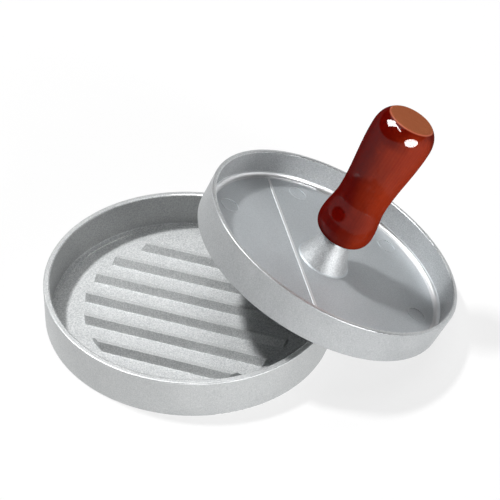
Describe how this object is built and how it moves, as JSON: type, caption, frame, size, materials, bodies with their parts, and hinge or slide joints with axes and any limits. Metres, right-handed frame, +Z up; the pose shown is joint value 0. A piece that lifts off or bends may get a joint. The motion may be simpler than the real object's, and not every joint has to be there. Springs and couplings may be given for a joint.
{
  "type": "burger press",
  "caption": "Round two-part burger press: a shallow ribbed pan and a leaning plunger with a turned wooden handle.",
  "frame": {"origin": "centre of the pan's flat underside, on the table", "axes": "+Z up, +X from the pan towards the side where the leaning plunger's handle points, +Y completes it"},
  "size_m": [0.1753, 0.123, 0.0985],
  "materials": {
    "pan_metal": "blasted casting, fine matt grain",
    "press_metal": "blasted casting, fine matt grain",
    "stud_steel": "zinc plated",
    "handle_wood": "red-brown gloss lacquer"
  },
  "bodies": {
    "pan": {"base_pan": "pan_metal"},
    "plunger": {"press_plate": "press_metal"},
    "stud": {"stud": "stud_steel"},
    "handle": {"handle": "handle_wood"}
  },
  "joints": [
    {"name": "plunger_lift", "type": "slide", "parent": "pan", "child": "plunger", "axis": [0, 0, 1], "range_m": [0, 0.06]},
    {"name": "stud_advance", "type": "slide", "parent": "plunger", "child": "stud", "axis": [0.4019, 0, 0.9157], "range_m": [0, 0.012]},
    {"name": "handle_turn", "type": "hinge", "parent": "stud", "child": "handle", "pos_m": [0.06161, -0.0018, 0.03822], "axis": [0.4019, 0, 0.9157], "range_deg": [0, 4320]}
  ],
  "couplings": [
    {"joint": "stud_advance", "follows": "handle_turn", "m_per_rad": 0.00015915}
  ]
}
